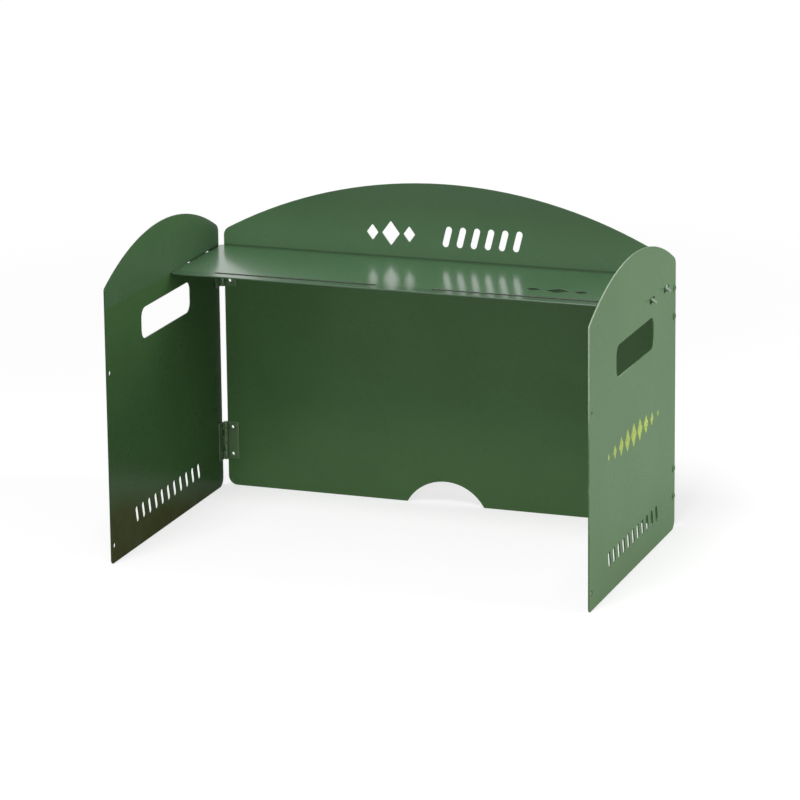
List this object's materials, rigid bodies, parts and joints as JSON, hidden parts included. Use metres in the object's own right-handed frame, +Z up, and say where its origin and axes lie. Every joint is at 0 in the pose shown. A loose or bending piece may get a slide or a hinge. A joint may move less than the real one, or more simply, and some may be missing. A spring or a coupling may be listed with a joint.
{
  "type": "folding camping windscreen",
  "caption": "Folding camp stove windscreen: bowed back sheet and side sheets on pinned hinges, with hand holes, a hose notch, cut vents and a plug-in shelf.",
  "frame": {"origin": "centre of the whole object's box at floor level, under the middle of the cooking bay", "axes": "+Z up, +X towards the right side panel, +Y towards the back panel; the bay opens towards -Y"},
  "size_m": [0.5218, 0.3078, 0.35],
  "materials": {
    "sheet_paint": "satin green powder coat",
    "hinge_paint": "satin green paint over rolled steel",
    "pin_steel": "plain steel"
  },
  "bodies": {
    "screen": {"back_panel": "sheet_paint", "shelf": "sheet_paint", "left_lower_back_leaf": "hinge_paint", "left_lower_pin": "pin_steel", "left_lower_back_rivet_low": "hinge_paint", "left_lower_back_rivet_high": "hinge_paint", "left_upper_back_leaf": "hinge_paint", "left_upper_pin": "pin_steel", "left_upper_back_rivet_low": "hinge_paint", "left_upper_back_rivet_high": "hinge_paint", "right_lower_back_leaf": "hinge_paint", "right_lower_pin": "pin_steel", "right_lower_back_rivet_low": "hinge_paint", "right_lower_back_rivet_high": "hinge_paint", "right_upper_back_leaf": "hinge_paint", "right_upper_pin": "pin_steel", "right_upper_back_rivet_low": "hinge_paint", "right_upper_back_rivet_high": "hinge_paint"},
    "left_side": {"left_panel": "sheet_paint", "left_lower_side_leaf": "hinge_paint", "left_lower_side_rivet_low": "hinge_paint", "left_lower_side_rivet_high": "hinge_paint", "left_upper_side_leaf": "hinge_paint", "left_upper_side_rivet_low": "hinge_paint", "left_upper_side_rivet_high": "hinge_paint"},
    "right_side": {"right_panel": "sheet_paint", "right_lower_side_leaf": "hinge_paint", "right_lower_side_rivet_low": "hinge_paint", "right_lower_side_rivet_high": "hinge_paint", "right_upper_side_leaf": "hinge_paint", "right_upper_side_rivet_low": "hinge_paint", "right_upper_side_rivet_high": "hinge_paint"}
  },
  "joints": [
    {"name": "left_fold", "type": "hinge", "parent": "screen", "child": "left_side", "pos_m": [-0.251, 0.1487, 0], "axis": [0, 0, -1], "range_deg": [0, 130]},
    {"name": "right_fold", "type": "hinge", "parent": "screen", "child": "right_side", "pos_m": [0.251, 0.1487, 0], "axis": [0, 0, 1], "range_deg": [0, 130]}
  ]
}
